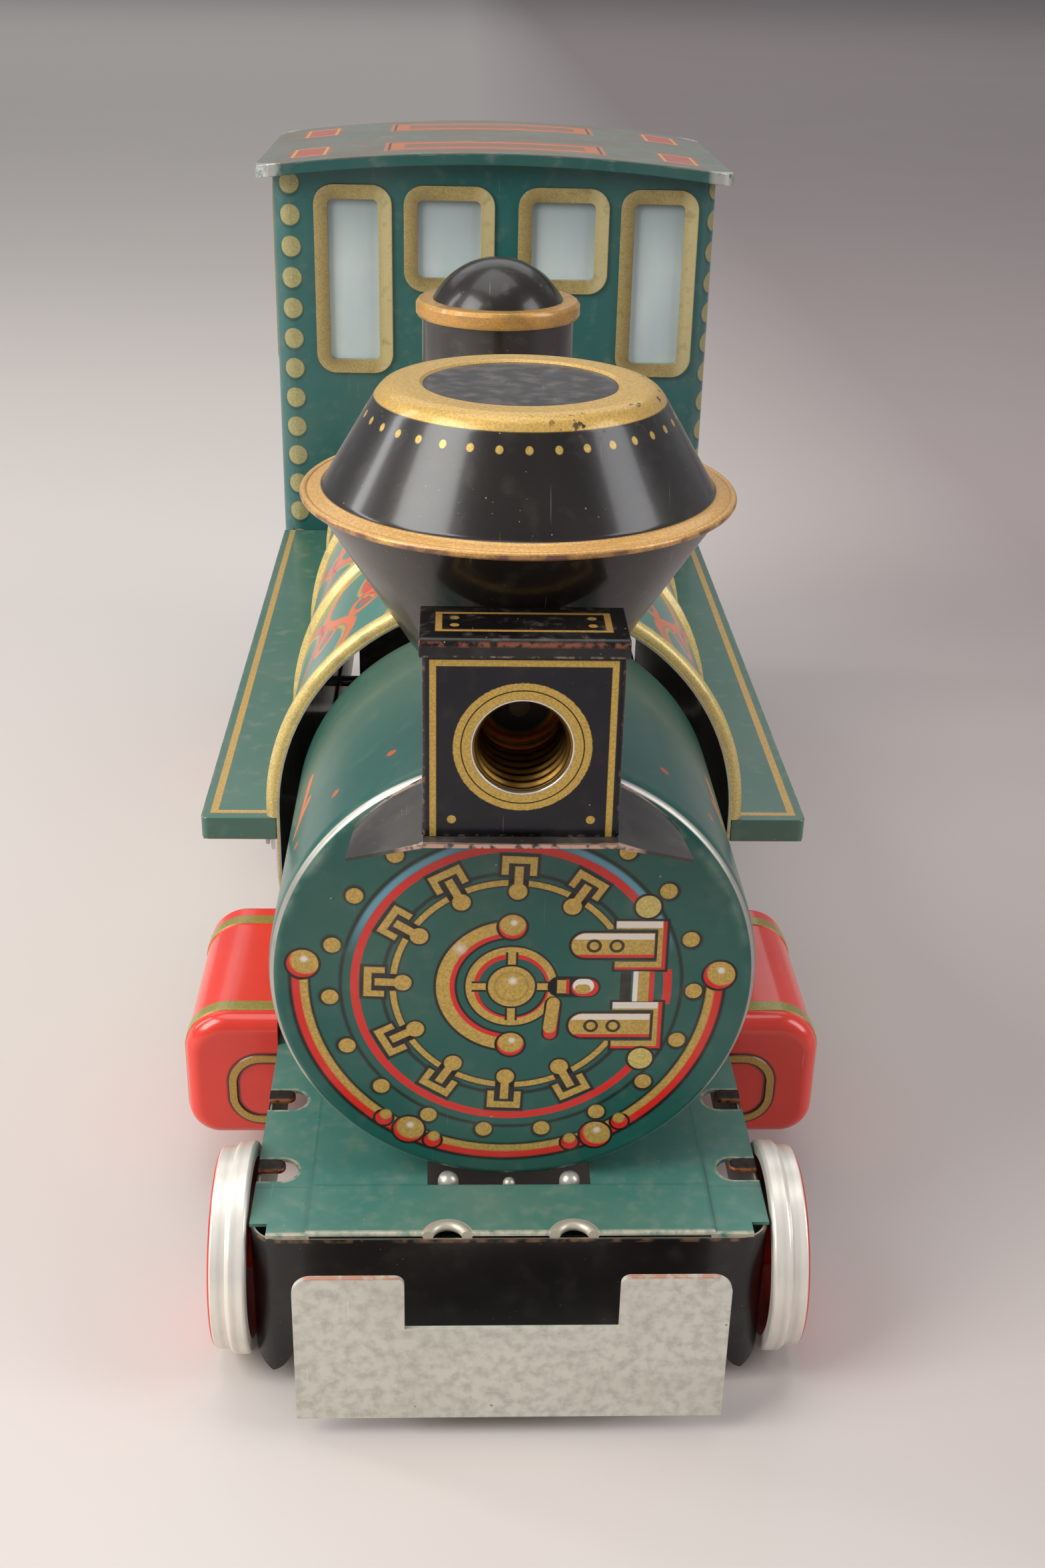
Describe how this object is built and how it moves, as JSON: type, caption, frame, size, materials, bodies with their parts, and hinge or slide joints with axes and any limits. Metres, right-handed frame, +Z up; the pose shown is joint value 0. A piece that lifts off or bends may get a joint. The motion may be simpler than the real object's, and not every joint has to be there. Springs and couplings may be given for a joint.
{
  "type": "toy train locomotive",
  "caption": "Tinplate toy steam locomotive with diamond stack, headlamp, dome and cab, turning wheels with side rods, a swivelling battery drive, a battery door and a switch.",
  "frame": {"origin": "on the ground under the middle of the locomotive's bounding box", "axes": "+Z up, +Y towards the cab so that the smokebox faces -Y, +X to the right seen from the front"},
  "size_m": [0.1196, 0.336, 0.1666],
  "materials": {
    "green_enamel": "gloss lithographed tinplate, teal green",
    "smokebox_litho": "gloss lithographed tinplate, teal green with gold and red printing",
    "boiler_litho": "gloss lithographed tinplate, green with gold and red scrolls",
    "cab_litho": "gloss lithographed tinplate, green with gold frames",
    "roof_litho": "gloss lithographed tinplate, grey green with an orange panel",
    "lamp_litho": "gloss lithographed tinplate, black with gold lines",
    "stack_litho": "gloss lithographed tinplate, black with gold bands",
    "black_enamel": "gloss black enamel on tinplate",
    "tinplate": "bare tinplate, dull and mottled",
    "bare_tab_steel": "worn dark steel",
    "red_plastic": "glossy red moulding",
    "red_wheel": "red enamel with a bright tread",
    "silver_wheel": "satin silver tread, red face",
    "rod_metal": "plated steel",
    "steel": "bright steel",
    "brass": "tarnished brass",
    "celluloid": "milky pale blue sheet",
    "battery_jacket": "printed steel jacket",
    "black_moulding": "black moulded plastic",
    "white_nylon": "cream nylon",
    "tyre_rubber": "black rubber"
  },
  "bodies": {
    "locomotive": {"chassis_pan": "black_enamel", "front_deck": "green_enamel", "body_tabs": "bare_tab_steel", "bumper_plate": "tinplate", "base_plate_front": "tinplate", "base_plate_rear": "tinplate", "smokebox_shell": "smokebox_litho", "boiler_shell": "boiler_litho", "running_board_left": "green_enamel", "running_board_right": "green_enamel", "steam_cylinder_left": "red_plastic", "steam_cylinder_right": "red_plastic", "stack_lower_cone": "black_enamel", "stack_upper_cone": "stack_litho", "dome_body": "stack_litho", "dome_cap": "black_enamel", "headlamp_box": "lamp_litho", "headlamp_cap": "lamp_litho", "headlamp_bracket": "black_enamel", "lamp_socket": "brass", "cab_shell": "cab_litho", "cab_glazing": "celluloid", "cab_roof": "roof_litho", "cab_floor": "green_enamel", "rear_beam": "green_enamel", "battery_box": "tinplate", "battery_left": "battery_jacket", "battery_right": "battery_jacket", "battery_contacts": "brass", "door_hinge_pin": "steel", "swivel_bridge": "tinplate"},
    "leading_wheels": {"leading_axle": "steel", "leading_wheel_left": "silver_wheel", "leading_wheel_right": "silver_wheel"},
    "front_drivers": {"front_drive_axle": "steel", "front_drive_wheel_left": "red_wheel", "front_drive_wheel_right": "red_wheel", "front_crank_pins": "steel"},
    "rear_drivers": {"rear_drive_axle": "steel", "rear_drive_wheel_left": "red_wheel", "rear_drive_wheel_right": "red_wheel", "rear_crank_pins": "steel"},
    "side_rod_left": {"side_rod_left": "rod_metal"},
    "side_rod_right": {"side_rod_right": "rod_metal"},
    "drive_unit": {"drive_turntable": "tinplate", "swivel_rivet": "steel", "gearbox_plate_left": "tinplate", "gearbox_plate_right": "tinplate", "motor_can": "steel", "motor_end_cap": "black_moulding", "reduction_stub": "steel"},
    "motor_rotor": {"motor_shaft": "steel", "motor_pinion": "brass"},
    "reduction_gear": {"reduction_gear": "white_nylon"},
    "drive_wheelset": {"drive_axle": "steel", "drive_gear": "white_nylon", "drive_wheels": "black_moulding", "drive_tyres": "tyre_rubber"},
    "battery_door": {"battery_door": "tinplate"},
    "switch_lever": {"switch_lever": "tinplate"}
  },
  "joints": [
    {"name": "leading_spin", "type": "hinge", "parent": "locomotive", "child": "leading_wheels", "pos_m": [0, -0.143, 0.0172], "axis": [1, 0, 0], "continuous": true},
    {"name": "front_driver_spin", "type": "hinge", "parent": "locomotive", "child": "front_drivers", "pos_m": [0, 0.009, 0.0255], "axis": [1, 0, 0], "continuous": true},
    {"name": "rear_driver_spin", "type": "hinge", "parent": "locomotive", "child": "rear_drivers", "pos_m": [0, 0.083, 0.0255], "axis": [1, 0, 0], "continuous": true},
    {"name": "rod_pivot_left", "type": "hinge", "parent": "front_drivers", "child": "side_rod_left", "pos_m": [-0.053, 0.009, 0.0155], "axis": [1, 0, 0], "continuous": true},
    {"name": "rod_pivot_right", "type": "hinge", "parent": "front_drivers", "child": "side_rod_right", "pos_m": [0.053, 0.019, 0.0255], "axis": [1, 0, 0], "continuous": true},
    {"name": "drive_swivel", "type": "hinge", "parent": "locomotive", "child": "drive_unit", "pos_m": [0, -0.081, 0.028], "axis": [0, 0, 1], "range_deg": [-110, 110]},
    {"name": "drive_axle_spin", "type": "hinge", "parent": "drive_unit", "child": "drive_wheelset", "pos_m": [0, -0.073, 0.013], "axis": [1, 0, 0], "continuous": true},
    {"name": "reduction_spin", "type": "hinge", "parent": "drive_unit", "child": "reduction_gear", "pos_m": [0.017, -0.083, 0.01758], "axis": [1, 0, 0], "continuous": true},
    {"name": "motor_spin", "type": "hinge", "parent": "drive_unit", "child": "motor_rotor", "pos_m": [0, -0.093, 0.013], "axis": [1, 0, 0], "continuous": true},
    {"name": "battery_door_hinge", "type": "hinge", "parent": "locomotive", "child": "battery_door", "pos_m": [0, 0.158, 0.0129], "axis": [1, 0, 0], "range_deg": [0, 95]},
    {"name": "switch_pivot", "type": "hinge", "parent": "locomotive", "child": "switch_lever", "pos_m": [0, 0.16, 0.041], "axis": [0, 1, 0], "range_deg": [0, 40]}
  ],
  "couplings": [
    {"joint": "rear_driver_spin", "follows": "front_driver_spin", "ratio": 1},
    {"joint": "rod_pivot_left", "follows": "front_driver_spin", "ratio": -1},
    {"joint": "rod_pivot_right", "follows": "front_driver_spin", "ratio": -1},
    {"joint": "reduction_spin", "follows": "motor_spin", "ratio": -0.22222},
    {"joint": "drive_axle_spin", "follows": "motor_spin", "ratio": 0.049383}
  ]
}
